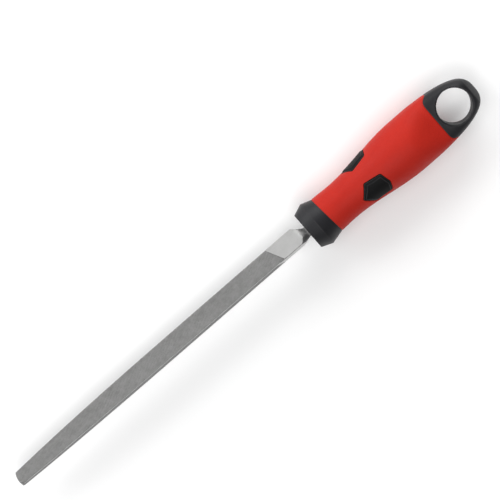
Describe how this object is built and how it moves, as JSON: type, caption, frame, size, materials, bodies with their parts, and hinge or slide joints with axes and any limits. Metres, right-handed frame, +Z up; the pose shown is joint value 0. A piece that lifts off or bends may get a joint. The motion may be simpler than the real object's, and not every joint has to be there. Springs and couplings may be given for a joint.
{
  "type": "triangular hand file",
  "caption": "Triangular hand file: a tapering three-sided steel blade on a square tang, in a contoured soft-grip handle with a flared collar and a hang hole.",
  "frame": {"origin": "under the middle of the tool's length, at the lowest point of the handle's belly", "axes": "+X along the tool towards the blade's tip, +Z up along the hang hole's axis, +Y across the handle"},
  "size_m": [0.3257, 0.0318, 0.0318],
  "materials": {
    "file_steel": "hardened file steel, matt grey where it is cut and satin at the heel",
    "hard_black_plastic": "moulded black plastic with a fine texture",
    "red_soft_grip": "soft-touch red thermoplastic rubber",
    "black_soft_grip": "soft black thermoplastic rubber"
  },
  "bodies": {
    "handle": {"front_collar": "hard_black_plastic", "handle_core": "hard_black_plastic", "grip_sleeve": "red_soft_grip", "grip_pad_1": "black_soft_grip", "grip_pad_2": "black_soft_grip", "grip_pad_3": "black_soft_grip", "end_loop": "hard_black_plastic"},
    "blade": {"file_blade": "file_steel"}
  },
  "joints": [
    {"name": "blade_pull", "type": "slide", "parent": "handle", "child": "blade", "axis": [1, 0, 0], "range_m": [0, 0.06]}
  ]
}
